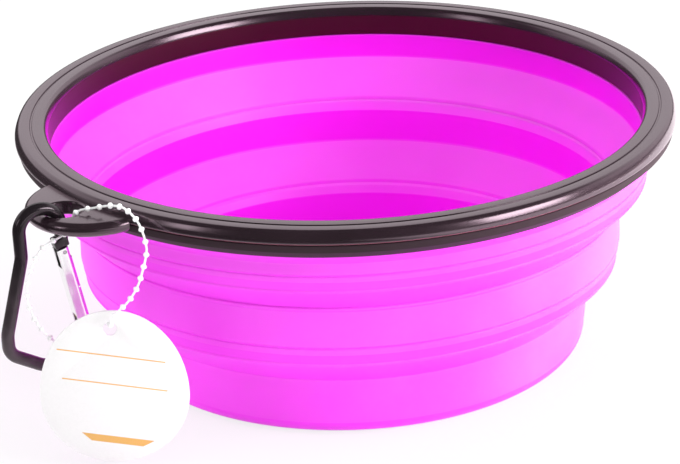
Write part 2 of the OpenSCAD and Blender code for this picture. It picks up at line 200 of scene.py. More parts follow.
class Graph:
    """A node tree with one method that adds any node."""

    def __init__(self, tree: bpy.types.NodeTree) -> None:
        """Start from an empty tree."""
        self.tree = tree
        tree.nodes.clear()

    def node(self, kind: str, settings: Optional[Mapping[str, object]] = None,
             sockets: Optional[Mapping[Union[int, str], Term]] = None) -> list[Value]:
        """Add a node.

        Args:
            kind: The node's type.
            settings: Its properties, set first.
            sockets: Values or links of its input sockets.

        Returns:
            All its output sockets, in order.
        """
        made = self.tree.nodes.new(kind)
        for key, value in (settings or {}).items():
            setattr(made, key, value)
        for key, term in (sockets or {}).items():
            if isinstance(term, Value):
                self.tree.links.new(term.socket, made.inputs[key])
            else:
                made.inputs[key].default_value = term
        return [Value(self, socket) for socket in made.outputs]

    def place(self) -> Value:
        """The piece's Object coordinates, which are the row frame in metres."""
        return self.node("ShaderNodeTexCoord")[Coordinates.OBJECT]

    def noise(self, scale: float, detail: float = 3.0, at: Optional[Value] = None) -> Value:
        """A noise over the piece.

        Args:
            scale: Features per metre.
            detail: Octaves.
            at: Coordinates, or None for the piece's own.

        Returns:
            The noise from 0 to 1.
        """
        sockets = {"Vector": at or self.place(), "Scale": scale, "Detail": detail}
        return self.node("ShaderNodeTexNoise", None, sockets)[0]

    def blend(self, factor: Value, low: Place, high: Place) -> Value:
        """A colour between two.

        Args:
            factor: 0 for the first colour, 1 for the second.
            low: First colour, linear.
            high: Second colour, linear, or a link.

        Returns:
            The mixed colour.
        """
        ends = [c if isinstance(c, Value) else (*c, 1.0) for c in (low, high)]
        return self.node("ShaderNodeMix", {"data_type": "RGBA"}, {0: factor, 6: ends[0], 7: ends[1]})[2]

    def bump(self, height: Value, strength: float, distance: float) -> Value:
        """A bumped normal.

        Args:
            height: The relief from 0 to 1.
            strength: Share of the relief that shows.
            distance: Depth of the relief in metres.

        Returns:
            The normal.
        """
        return self.node("ShaderNodeBump", None, {"Strength": strength, "Distance": distance, "Height": height})[0]

    def along(self, at: Value, axis: Place) -> Value:
        """How far a place lies along an axis.

        Args:
            at: The place.
            axis: A direction of length 1.

        Returns:
            The distance in metres.
        """
        return self.node("ShaderNodeVectorMath", {"operation": "DOT_PRODUCT"}, {0: at, 1: axis})[1]


# Finishes


@dataclass(frozen=True)
class Finish:
    """A surface finish, made once and shared by the pieces that have it."""

    name: str
    slot: Slot

    def surface(self, graph: Graph) -> Mapping[str, Term]:
        """The shader's sockets. Each finish gives its own.

        Args:
            graph: The material's nodes.

        Returns:
            The shader's sockets.
        """
        raise NotImplementedError

    def material(self) -> bpy.types.Material:
        """The finish as a material, made on first use.

        Returns:
            The material.
        """
        made = bpy.data.materials.get(self.name)
        if made is None:
            made = bpy.data.materials.new(self.name)
            made.use_nodes = True
            graph = Graph(made.node_tree)
            shader = graph.node("ShaderNodeBsdfPrincipled", None, self.surface(graph))[0]
            graph.node("ShaderNodeOutputMaterial", None, {0: shader})
        return made


@dataclass(frozen=True)
class MouldedPlastic(Finish):
    """Satin black plastic with a fine spark-eroded grain."""

    dark: Place = (0.012, 0.0075, 0.010)
    light: Place = (0.024, 0.0155, 0.020)
    rough: float = 0.2
    grain_per_m: float = 1900.0
    coat: float = 0.7
    specular: float = 0.9
    tint: Place = (1.0, 0.74, 0.89)
    coat_rough: float = 0.2
    coat_tint: Place = (1.0, 0.80, 0.90)
    clouds_per_m: float = 55.0
    relief: Flat = (0.14, 0.00004)

    def surface(self, graph: Graph) -> Mapping[str, Term]:
        """Grain in the bump, cloudy handling marks in colour and gloss.

        Args:
            graph: The material's nodes.

        Returns:
            The shader's sockets.
        """
        clouds = graph.noise(self.clouds_per_m, 4.0)
        grain = graph.noise(self.grain_per_m, 2.0)
        return {
            "Base Color": graph.blend(clouds, self.dark, self.light),
            "Roughness": self.rough - 0.06 + 0.12 * clouds + 0.05 * grain,
            "Specular IOR Level": self.specular,
            "Specular Tint": (*self.tint, 1.0),
            "Coat Weight": self.coat,
            "Coat Roughness": self.coat_rough,
            "Coat Tint": (*self.coat_tint, 1.0),
            "Normal": graph.bump(grain, *self.relief),
        }


@dataclass(frozen=True)
class Silicone(Finish):
    """Soft satin silicone, slightly translucent, cloudy at arm's length."""

    deep: Place = (0.96, 0.060, 0.91)
    pale: Place = (0.975, 0.084, 0.93)
    rough: float = 0.46
    clouds_per_m: float = 28.0
    skin_per_m: float = 1400.0
    relief: Flat = (0.12, 0.00003)
    scatter: float = 0.25
    scatter_reach: Place = (1.0, 0.25, 0.9)
    scatter_scale: float = 0.0025

    def surface(self, graph: Graph) -> Mapping[str, Term]:
        """Clouds in the colour, a fine skin in gloss and bump.

        Args:
            graph: The material's nodes.

        Returns:
            The shader's sockets.
        """
        clouds = graph.noise(self.clouds_per_m, 3.0)
        skin = graph.noise(self.skin_per_m, 3.0)
        return {
            "Base Color": graph.blend(clouds.rise(0.3, 0.7), self.deep, self.pale),
            "Roughness": self.rough - 0.05 + 0.08 * clouds + 0.04 * skin,
            "Subsurface Weight": self.scatter,
            "Subsurface Radius": self.scatter_reach,
            "Subsurface Scale": self.scatter_scale,
            "Specular IOR Level": 0.5,
            "Normal": graph.bump(skin, *self.relief),
        }


@dataclass(frozen=True)
class GlossPaint(Finish):
    """Black dipped paint with a slight orange peel."""

    colour: Place = (0.012, 0.009, 0.011)
    mottle: Place = (0.056, 0.043, 0.050)
    hook_from: Flat = (0.040, 0.060)
    tint: Place = (1.0, 0.82, 0.92)
    peel_per_m: float = 520.0
    mottle_per_m: float = 160.0
    relief: Flat = (0.10, 0.00006)

    def surface(self, graph: Graph) -> Mapping[str, Term]:
        """Orange peel in the bump; the paint is lighter and rougher, with a mottle, below the hook and black on
        the hook.

        Args:
            graph: The material's nodes.

        Returns:
            The shader's sockets.
        """
        peel = graph.noise(self.peel_per_m, 2.0)
        # Lighter, rougher paint below hook_from; black paint from there up.
        on_hook = graph.along(graph.place(), UP).rise(*self.hook_from)
        mottle = (graph.noise(self.mottle_per_m, 5.0).rise(0.35, 0.7) * 0.5 + 0.5) * (1 - on_hook)
        return {
            "Base Color": graph.blend(mottle, self.colour, self.mottle),
            "Roughness": 0.17 + 0.10 * mottle,
            "Specular IOR Level": 0.5,
            "Specular Tint": (*self.tint, 1.0),
            "Normal": graph.bump(peel, *self.relief),
        }


@dataclass(frozen=True)
class DrawnMetal(Finish):
    """Bright metal with fine lines along its length."""

    colour: Place = (0.97, 0.96, 0.965)
    shade: Place = (0.88, 0.87, 0.88)
    rough: float = 0.16
    lines_per_m: float = 2400.0
    stretch: float = 40.0
    lean: float = 0.0
    yaw: float = 0.0
    stains_per_m: float = 220.0
    relief: Flat = (0.12, 0.00002)

    def surface(self, graph: Graph) -> Mapping[str, Term]:
        """Lines stretched along the piece's own axis.

        Args:
            graph: The material's nodes.

        Returns:
            The shader's sockets.
        """
        turned = graph.node("ShaderNodeMapping", {"vector_type": "TEXTURE"},
                            {"Vector": graph.place(), "Rotation": (0.0, self.lean, self.yaw),
                             "Scale": (1.0, 1.0, self.stretch)})[0]
        lines = graph.noise(self.lines_per_m, 3.0, turned)
        stains = graph.noise(self.stains_per_m, 3.0)
        return {
            "Base Color": graph.blend(lines.rise(0.35, 0.7) * 0.5 + 0.5 * stains, self.colour, self.shade),
            "Metallic": 1.0,
            "Roughness": self.rough - 0.05 + 0.12 * lines + 0.05 * stains,
            "Normal": graph.bump(lines, *self.relief),
        }


@dataclass(frozen=True)
class Nylon(Finish):
    """White moulded thread plastic, a little see-through."""

    colour: Place = (0.95, 0.945, 0.95)
    shade: Place = (0.90, 0.89, 0.895)
    flow_per_m: float = 900.0
    relief: Flat = (0.1, 0.00004)
    scatter: float = 0.3
    scatter_reach: Place = (1.0, 0.9, 0.9)
    scatter_scale: float = 0.0006

    def surface(self, graph: Graph) -> Mapping[str, Term]:
        """Flow marks in colour and gloss.

        Args:
            graph: The material's nodes.

        Returns:
            The shader's sockets.
        """
        flow = graph.noise(self.flow_per_m, 3.0)
        return {
            "Base Color": graph.blend(flow.rise(0.35, 0.75), self.colour, self.shade),
            "Roughness": 0.38 + 0.12 * flow,
            "Subsurface Weight": self.scatter,
            "Subsurface Radius": self.scatter_reach,
            "Subsurface Scale": self.scatter_scale,
            "Normal": graph.bump(flow, *self.relief),
        }


@dataclass(frozen=True)
class PrintedCard(Finish):
    """Coated white card with two thin orange rules and an orange band, and no words."""

    centre: Place = (-97.0, -17.5, 20.8)
    turn: float = 41.0
    slope: float = -10.4
    paper: Place = (0.915, 0.910, 0.908)
    fibre: Place = (0.895, 0.890, 0.887)
    ink: Place = (0.83, 0.42, 0.06)
    rules: tuple[tuple[float, float, float], ...] = ((-16.0, 11.6, 10.8), (-13.8, 13.1, 2.9))
    rule_half: float = 0.17
    band_mid: Flat = (2.2, -12.65)
    band_half: Flat = (8.0, 0.98)
    band_slant: float = 1.4
    edge: float = 0.05
    fibre_per_m: float = 1300.0
    speckle_per_m: float = 5200.0
    relief: Flat = (0.06, 0.00003)

    def surface(self, graph: Graph) -> Mapping[str, Term]:
        """The print's masks on the card's front, over fine paper fibre.

        Args:
            graph: The material's nodes.

        Returns:
            The shader's sockets.
        """
        turn, slope = math.radians(self.turn), math.radians(self.slope)
        across_axis = (math.cos(turn), -math.sin(turn), 0.0)
        front_axis = (-math.sin(turn), -math.cos(turn), 0.0)
        at = graph.node("ShaderNodeVectorMath", {"operation": "SUBTRACT"},
                        {0: graph.place(), 1: [c * MM for c in self.centre]})[0]
        across = graph.along(at, across_axis) * (1 / MM)
        up = graph.along(at, UP) * (1 / MM)
        front = graph.along(at, front_axis).rise(0.0, 0.0001)
        x = across * math.cos(slope) + up * math.sin(slope)
        y = up * math.cos(slope) - across * math.sin(slope)
        ink: Term = 0.0
        for start, end, height in self.rules:
            ends = ((x - (start + end) / 2).size() - (end - start) / 2)
            line = ((y - height).size() - self.rule_half).larger(ends)
            ink = (1 - line.rise(-self.edge, self.edge)).larger(ink)
        rise = y - self.band_mid[1]
        ends = (x - self.band_mid[0]).size() - self.band_half[0] - rise * self.band_slant
        band = (rise.size() - self.band_half[1]).larger(ends)
        ink = (1 - band.rise(-self.edge, self.edge)).larger(ink) * front
        fibre = graph.noise(self.fibre_per_m, 4.0)
        speckle = graph.noise(self.speckle_per_m, 2.0)
        paper = graph.blend(fibre.rise(0.35, 0.8), self.paper, self.fibre)
        return {
            "Base Color": graph.blend(ink * (0.86 + 0.14 * speckle), paper, self.ink),
            "Roughness": 0.42 + 0.1 * fibre - 0.08 * ink,
            "Normal": graph.bump(fibre, *self.relief),
        }


RIM_PLASTIC = MouldedPlastic("rim_satin_plastic", Slot.RIM)
CLAMP_PLASTIC = MouldedPlastic("clamp_matt_plastic", Slot.RIM, (0.028, 0.016, 0.021), (0.040, 0.025, 0.031),
                               0.55, 2000.0, 0.0, 0.2)
# Painted reflection: the skirt's inner face is the rim's black plastic with a red base and red specular tint, for
# the pink bowl it reflects.
SKIRT_PAINTED_REFLECTION_PLASTIC = MouldedPlastic("skirt_painted_reflection_plastic", Slot.RIM, (0.020, 0.004, 0.007), (0.034, 0.008, 0.012),
                               0.3, 1900.0, 0.0, 0.6, (1.0, 0.35, 0.42))
BOWL_SILICONE = Silicone("bowl_silicone", Slot.SILICONE)
# Painted light and shade: a lighter copy for the inner upper slope, darker copies for risers, floor, outer webs
# and the flange's lip.
SLOPE_PAINTED_LIGHT_SILICONE = Silicone("slope_painted_light_silicone", Slot.SILICONE, (0.965, 0.090, 0.94), (0.975, 0.114, 0.95))
WEB_PAINTED_SHADE_SILICONE = Silicone("web_painted_shade_silicone", Slot.SILICONE, (0.955, 0.034, 0.92), (0.965, 0.046, 0.94))
RISER_PAINTED_SHADE_SILICONE = Silicone("riser_painted_shade_silicone", Slot.SILICONE, (0.95, 0.014, 0.91), (0.96, 0.022, 0.92))
FLANGE_PAINTED_SHADE_SILICONE = Silicone("flange_painted_shade_silicone", Slot.SILICONE, (0.36, 0.080, 0.15), (0.40, 0.100, 0.17))
BLACK_PAINT = GlossPaint("carabiner_gloss_paint", Slot.PAINT)
GATE_METAL = DrawnMetal("gate_drawn_aluminium", Slot.GATE, lean=math.radians(11.4), yaw=math.radians(166))
PIN_STEEL = DrawnMetal("pin_turned_steel", Slot.PIN, (0.66, 0.65, 0.67), (0.48, 0.47, 0.49), 0.28)
PLUNGER_BRASS = DrawnMetal("plunger_brass", Slot.PLUNGER, (0.72, 0.52, 0.22), (0.55, 0.38, 0.15), 0.3)
TIE_NYLON = Nylon("tie_nylon", Slot.TIE)
TAG_CARD = PrintedCard("tag_printed_card", Slot.CARD)


# Profiles


# A rounding's largest share of a side, its least reach in millimetres, and the degrees in one step of it
SIDE_SHARE = 0.48
LEAST_REACH = 1e-4
ARC_STEP = 11


def rounded(corners: Sequence[Place], longest: float = 1000.0) -> list[Flat]:
    """Round the corners of a closed profile.

    Args:
        corners: Each corner's two coordinates and, where it has one, its rounding, in millimetres.
        longest: The longest straight step to leave, in millimetres.

    Returns:
        The profile's points.
    """
    spots = [Vector(corner[:2]) for corner in corners]
    line: list[Vector] = []
    for i, here in enumerate(spots):
        back, ahead = spots[i - 1] - here, spots[(i + 1) % len(spots)] - here
        half = back.angle(ahead) / 2
        asked = sum(corners[i][2:]) / math.tan(half)
        reach = min(asked, SIDE_SHARE * back.length, SIDE_SHARE * ahead.length)
        if reach < LEAST_REACH:
            line.append(here)
            continue
        radius = reach * math.tan(half)
        centre = here + (back.normalized() + ahead.normalized()).normalized() * (radius / math.sin(half))
        start, end = here + back.normalized() * reach - centre, here + ahead.normalized() * reach - centre
        sweep = start.angle(end)
        steps = max(2, round(math.degrees(sweep) / ARC_STEP))
        for k in range(steps + 1):
            a, b = math.sin(sweep * (1 - k / steps)), math.sin(sweep * k / steps)
            line.append(centre + (start * a + end * b) / math.sin(sweep))
    points: list[Flat] = []
    for a, b in zip(line, line[1:] + line[:1]):
        parts = max(1, math.ceil((b - a).length / longest))
        points += [tuple(a.lerp(b, k / parts)) for k in range(parts)]
    return points


# Modelling steps


class Bench:
    """Modelling steps that the sub-assemblies share, in millimetres, worked with Blender's operators."""

    TIGHT = 1e-6
    LOOSE = 2e-6
    PIN_STEPS = 32

    @staticmethod
    def clear() -> None:
        """Go to object mode with nothing selected."""
        active = bpy.context.view_layer.objects.active
        if active is not None and active.mode != "OBJECT":
            bpy.ops.object.mode_set(mode="OBJECT")
        bpy.ops.object.select_all(action="DESELECT")

    @staticmethod
    def extrude(by: Place) -> None:
        """Extrude what is selected, in metres."""
        bpy.ops.mesh.extrude_region_move(TRANSFORM_OT_translate={"value": by})

    @staticmethod
    def select() -> None:
        """Select all of the piece that is open in edit mode."""
        bpy.ops.mesh.select_all(action="SELECT")

    @classmethod
    def weld(cls, within: float) -> None:
        """Merge points that lie close together, and select all.

        Args:
            within: How close, in metres.
        """
        cls.select()
        bpy.ops.mesh.remove_doubles(threshold=within)
        cls.select()

    @classmethod
    def take(cls, piece: Piece) -> None:
        """Select one piece alone and make it active.

        Args:
            piece: The piece.
        """
        cls.clear()
        piece.select_set(True)
        bpy.context.view_layer.objects.active = piece

    @classmethod
    def edit(cls, piece: Piece) -> None:
        """Open a piece in edit mode with all of it selected.

        Args:
            piece: The piece.
        """
        cls.take(piece)
        bpy.ops.object.mode_set(mode="EDIT")
        cls.select()

    @staticmethod
    def add(name: str, data: bpy.types.ID) -> Piece:
        """A new object in the scene.

        Args:
            name: Its name.
            data: Its curve, camera or light.

        Returns:
            The object.
        """
        made = bpy.data.objects.new(name, data)
        bpy.context.scene.collection.objects.link(made)
        return made

    @staticmethod
    def named(name: str) -> Piece:
        """Name the new primitive and put its place in its mesh.

        Args:
            name: The piece's name.

        Returns:
            The piece.
        """
        piece = bpy.context.view_layer.objects.active
        piece.name = piece.data.name = name
        bpy.ops.object.transform_apply(location=True, rotation=True, scale=True)
        return piece

    @classmethod
    def trace(cls, name: str, points: Sequence[Place]) -> Piece:
        """Extrude one vertex along a closed line.

        Args:
            name: The piece's name.
            points: The line's points; it runs back to the first.

        Returns:
            The piece, open in edit mode with all of it selected.
        """
        cls.clear()
        spots = [Vector(p) * MM for p in points]
        bpy.ops.mesh.primitive_plane_add(size=MM, location=spots[0])
        piece = cls.named(name)
        cls.edit(piece)
        bpy.ops.mesh.merge(type="CENTER")
        for a, b in zip(spots, spots[1:] + spots[:1]):
            cls.extrude(b - a)
        cls.weld(cls.TIGHT)
        return piece

    @classmethod
    def close(cls) -> None:
        """Merge doubles, turn the faces outwards and leave edit mode."""
        cls.weld(cls.LOOSE)
        bpy.ops.mesh.normals_make_consistent(inside=False)
        cls.clear()

    @classmethod
    def lathe(cls, name: str, profile: Sequence[Flat], steps: int, centre: Place = (0.0, 0.0, 0.0)) -> Piece:
        """Spin a closed profile about an upright axis.

        Args:
            name: The piece's name.
            profile: Radius and height of each point.
            steps: Steps round the axis.
            centre: A point on the axis.

        Returns:
            The closed piece.
        """
        piece = cls.trace(name, [(centre[0] + r, centre[1], centre[2] + z) for r, z in profile])
        bpy.ops.mesh.spin(steps=steps, angle=FULL_TURN, center=Vector(centre) * MM, axis=UP)
        cls.close()
        return piece

    @classmethod
    def prism(cls, name: str, outline: Sequence[Place], rise: Place) -> Piece:
        """Fill a flat outline and extrude it.

        Args:
            name: The piece's name.
            outline: The outline's points.
            rise: The extrusion.

        Returns:
            The closed piece.
        """
        piece = cls.trace(name, outline)
        bpy.ops.mesh.edge_face_add()
        cls.extrude(Vector(rise) * MM)
        cls.close()
        return piece

    @classmethod
    def block(cls, name: str, low: Place, high: Place, rounding: float = 0.0) -> Piece:
        """A cube between two corners with its edges rounded.

        Args:
            name: The piece's name.
            low: Lowest corner.
            high: Highest corner.
            rounding: Rounding of its edges.

        Returns:
            The piece.
        """
        cls.clear()
        low_at, high_at = Vector(low) * MM, Vector(high) * MM
        bpy.ops.mesh.primitive_cube_add(size=1.0, location=(low_at + high_at) / 2, scale=high_at - low_at)
        piece = cls.named(name)
        if rounding:
            cls.edit(piece)
            bpy.ops.mesh.bevel(offset=rounding * MM, segments=4, affect="EDGES")
            cls.close()
        return piece

    @classmethod
    def pin(cls, name: str, profile: Sequence[Flat], at: Matrix) -> Piece:
        """A turned pin, spun about its own length and laid in place.

        Args:
            name: The piece's name.
            profile: Radius and place along the pin of each point.
            at: Where the pin's own frame lies; its length runs along Z.

        Returns:
            The piece.
        """
        piece = cls.lathe(name, profile, cls.PIN_STEPS)
        cls.lay(piece, at)
        return piece

    @classmethod
    def lay(cls, piece: Piece, at: Matrix) -> None:
        """Move a piece from its own frame to its place and put that in its mesh.

        Args:
            piece: The piece.
            at: Its place.
        """
        piece.matrix_world = at
        cls.take(piece)
        bpy.ops.object.transform_apply(location=True, rotation=True, scale=True)
        cls.clear()

    @classmethod
    def modify(cls, piece: Piece, kind: str, **settings: object) -> None:
        """Add a modifier to a piece, set it and apply it.

        Args:
            piece: The piece.
            kind: The modifier's type.
            settings: Its properties.
        """
        cls.take(piece)
        bpy.ops.object.modifier_add(type=kind)
        step = piece.modifiers[-1]
        for key, value in settings.items():
            setattr(step, key, value)
        bpy.ops.object.modifier_apply(modifier=step.name)

    @classmethod
    def combine(cls, piece: Piece, others: Sequence[Piece], how: Mix) -> None:
        """Cut or join other solids with a piece and remove them.

        Args:
            piece: The piece that stays.
            others: The solids that are used up.
            how: Whether they are cut away or joined.
        """
        for other in others:
            cls.modify(piece, "BOOLEAN", operation=how.value, solver="EXACT", object=other)
            bpy.data.objects.remove(other, do_unlink=True)
        cls.clear()

    @classmethod
    def soften(cls, piece: Piece, width: float, segments: int = 2, angle: float = 40.0) -> None:
        """Bevel a piece's sharp edges.

        Args:
            piece: The piece.
            width: The bevel's width.
            segments: Its segments.
            angle: Edges sharper than this are bevelled, in degrees.
        """
        cls.modify(piece, "BEVEL", width=width * MM, segments=segments, limit_method="ANGLE",
                   angle_limit=math.radians(angle), use_clamp_overlap=True)
        cls.clear()

    @classmethod
    def smooth(cls, piece: Piece, angle: float = 32.0) -> None:
        """Shade a piece smooth except at its sharp edges.

        Args:
            piece: The piece.
            angle: Edges sharper than this stay sharp, in degrees.
        """
        cls.take(piece)
        bpy.ops.object.shade_smooth_by_angle(angle=math.radians(angle))
        cls.clear()

    @classmethod
    def join(cls, pieces: Sequence[Piece]) -> Piece:
        """Put several pieces in the first one's mesh.

        Args:
            pieces: The pieces.

        Returns:
            The first piece.
        """
        cls.take(pieces[0])
        for piece in pieces[1:]:
            piece.select_set(True)
        bpy.ops.object.join()
        cls.clear()
        return pieces[0]


def dress(piece: Piece, finish: Finish, body: Optional[Body], *nodes: str) -> Piece:
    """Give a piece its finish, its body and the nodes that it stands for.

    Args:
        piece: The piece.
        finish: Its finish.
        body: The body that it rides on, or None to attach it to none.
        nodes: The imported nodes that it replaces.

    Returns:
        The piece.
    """
    piece.data.materials.clear()
    piece.data.materials.append(finish.material())
    if body is not None:
        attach(piece, body.value)
    if nodes:
        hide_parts(*nodes)
    log.info("%s: %s, %s", piece.name, finish.name, body.value if body else "blended")
    return piece


# Sub-assemblies


@dataclass
class TagTie:
    """The beaded plastic tie: a thread through the eye and the tag, its beads and its lock."""

    route: Sequence[Place] = (
        (-97.6, -13.2, 37.5), (-97.6, -13.2, 38.6), (-97.3, -13.8, 39.8), (-96.9, -15.3, 40.5), (-97, -17.5, 40.5),
        (-97.8, -18.9, 41), (-98.1, -19.6, 42.5), (-97, -20.7, 44.6), (-95, -22.5, 47), (-94, -24.5, 50),
        (-93, -26, 53.5), (-91.5, -27.5, 60.5), (-91, -27, 63.5), (-90.5, -25, 66.5), (-90, -22, 68.5),
        (-90, -17.5, 70), (-90.5, -13, 69.5), (-91.8, -9.8, 68.6), (-93.2, -7.4, 67.9), (-94.6, -5.7, 67.5),
        (-95.8, -4.6, 66.6), (-96.4, -4, 65.1), (-97.1, -4.1, 63.5), (-99.2, -4.3, 62), (-102.2, -4, 61.2),
        (-105, -3.4, 60.2), (-107.1, -3.1, 58.4), (-108.8, -2.9, 55.9), (-110.1, -2.7, 53), (-110.9, -2.7, 49.9),
        (-111, -2.9, 46.6), (-110.4, -3.4, 43.2), (-109.2, -4.2, 39.9), (-107.5, -5.4, 36.8), (-105.3, -7, 34.1),
        (-102.9, -8.8, 32), (-100.6, -10.6, 30.8), (-98.8, -12.1, 30.7), (-97.8, -13, 31.8), (-97.6, -13.2, 33.5),
    )
    thread_d: float = 0.6
    bead_d: float = 1.7
    bead_h: float = 1.6
    bead_step: float = 3.3
    bead_band: float = 0.3
    bead_edge: float = 0.12
    first_bead: float = 1.6
    lock_d: float = 2.8
    lock_h: float = 4.0
    thread_rounds: int = 4
    bead_sides: int = 8
    lock_steps: int = 28

    def line(self) -> list[Vector]:
        """The smooth line through the route, with one more point in each stretch.

        Returns:
            Its points, in millimetres.
        """
        spots = [Vector(p) for p in self.route]
        last = len(spots) - 1
        made: list[Vector] = []
        for i in range(last):
            a, b, c, d = spots[max(i - 1, 0)], spots[i], spots[i + 1], spots[min(i + 2, last)]
            made += [b, (9 * (b + c) - a - d) / 16]
        return made + [spots[last]]

    def thread(self) -> tuple[Piece, float]:
        """The thread as a curve.

        Returns:
            The piece and its length in metres.
        """
        line = [p * MM for p in self.line()]
        data = bpy.data.curves.new("tie_thread", "CURVE")
        data.dimensions, data.use_fill_caps = "3D", True
        data.bevel_depth, data.bevel_resolution = self.thread_d / 2 * MM, self.thread_rounds
        spline = data.splines.new("POLY")
        spline.points.add(len(line) - 1)
        for point, at in zip(spline.points, line):
            point.co = (*at, 1.0)
        piece = Bench.add("tie_thread", data)
        return piece, sum((b - a).length for a, b in zip(line, line[1:]))

    def bead(self) -> Piece:
        """One bead, drawn out to the thread at both ends, along Z at the origin.

        Returns:
            The bead.
        """
        Bench.clear()
        tip, half = self.thread_d / 2, self.bead_h / 2
        bpy.ops.mesh.primitive_circle_add(vertices=self.bead_sides, radius=tip * MM, location=(0, 0, -half * MM))
        piece = Bench.named("tie_beads")
        Bench.edit(piece)
        wide, band = self.bead_d / 2, self.bead_band
        for radius_ratio, rise in ((wide / tip, half - band / 2), (1.0, band), (tip / wide, half - band / 2)):
            Bench.extrude((0, 0, rise * MM))
            bpy.ops.transform.resize(value=(radius_ratio, radius_ratio, 1))
        Bench.select()
        bpy.ops.mesh.fill_holes(sides=0)
        Bench.close()
        Bench.soften(piece, self.bead_edge, 1, 30)
        return piece

    def beads(self) -> Piece:
        """All beads, threaded at even steps, as one piece.

        Returns:
            The beads.
        """
        line = self.line()
        first = self.bead()
        made: list[Piece] = []
        travelled, due = 0.0, self.first_bead
        for a, b in zip(line, line[1:]):
            step = (b - a).length
            while due <= travelled + step:
                at = a.lerp(b, (due - travelled) / step) * MM
                copy = first.copy()
                copy.data = first.data.copy()
                bpy.context.scene.collection.objects.link(copy)
                Bench.lay(copy, Matrix.Translation(at) @ (b - a).to_track_quat("Z", "Y").to_matrix().to_4x4())
                made.append(copy)
                due += self.bead_step
            travelled += step
        bpy.data.objects.remove(first, do_unlink=True)
        whole = Bench.join(made)
        whole.name = whole.data.name = "tie_beads"
        return whole

    def lock(self) -> Piece:
        """The barrel lock that holds both ends, with two grip rings.

        Returns:
            The lock.
        """
        r, h = self.lock_d / 2, self.lock_h
        profile = rounded([
            (0, 0), (r * 0.7, 0, 0.3), (r, 0.7, 0.3), (r, 1.2, 0.15), (r - 0.25, 1.45, 0.15),
            (r - 0.25, 1.75, 0.15), (r, 2.0, 0.15), (r, h - 0.6, 0.3), (r * 0.6, h, 0.2), (0, h),
        ])
        return Bench.lathe("tie_barrel", profile, self.lock_steps, self.route[-1])

    def build(self, tag: Piece) -> None:
        """Args:
            tag: The card that hangs on it; not used.
        """
        thread, length = self.thread()
        beads, lock = self.beads(), self.lock()
        Bench.smooth(beads, 25)
        Bench.smooth(lock)
        dress(thread, TIE_NYLON, Body.RIM, "tag_tie")
        dress(beads, TIE_NYLON, Body.RIM)
        dress(lock, TIE_NYLON, Body.RIM, "tie_lock")


@dataclass
class HangTag:
    """The round-bottomed card that hangs on the tie."""

    hang: Flat = (-97.0, -17.5)
    width: float = 38.0
    height: float = 42.5
    top: float = 44.3
    thickness: float = 0.6
    hole_d: float = 3.6
    hole_z: float = 39.3
    turn: float = 41.0
    edge: float = 0.1
    sides: int = 128
    punch_half: float = 2.0
    punch_steps: int = 40

    def build(self) -> Piece:
        """Make the card: a disc drawn out above its middle, pierced and with softened edges.

        Returns:
            The card.
        """
        Bench.clear()
        radius = self.width / 2
        middle = self.top - self.height + radius
        bpy.ops.mesh.primitive_circle_add(vertices=self.sides, radius=radius * MM, fill_type="NGON",
                                          rotation=(math.pi / 2, 0, 0), location=(0, self.thickness / 2 * MM, 0))
        card = Bench.named("hang_tag_card")
        Bench.edit(card)
        bpy.ops.mesh.select_all(action="DESELECT")
        bpy.ops.object.mode_set(mode="OBJECT")
        for vertex in card.data.vertices:
            vertex.select = vertex.co.z > Bench.TIGHT
        bpy.ops.object.mode_set(mode="EDIT")
        bpy.ops.transform.resize(value=(1, 1, (self.height - radius) / radius), center_override=(0, 0, 0))
        Bench.select()
        Bench.extrude((0, -self.thickness * MM, 0))
        Bench.close()
        r, half = self.hole_d / 2, self.punch_half
        punch = Bench.lathe("punch", [(0, -half), (r, -half), (r, half), (0, half)], self.punch_steps)
        Bench.lay(punch, Matrix.Translation((0, 0, (self.hole_z - middle) * MM)) @ LAID_DOWN)
        Bench.combine(card, [punch], Mix.CUT)
        Bench.soften(card, self.edge, 2)
        at = Vector((*self.hang, middle)) * MM
        Bench.lay(card, Matrix.Translation(at) @ Matrix.Rotation(-math.radians(self.turn), 4, "Z"))
        Bench.smooth(card)
        return dress(card, TAG_CARD, Body.TAG, "hang_tag")


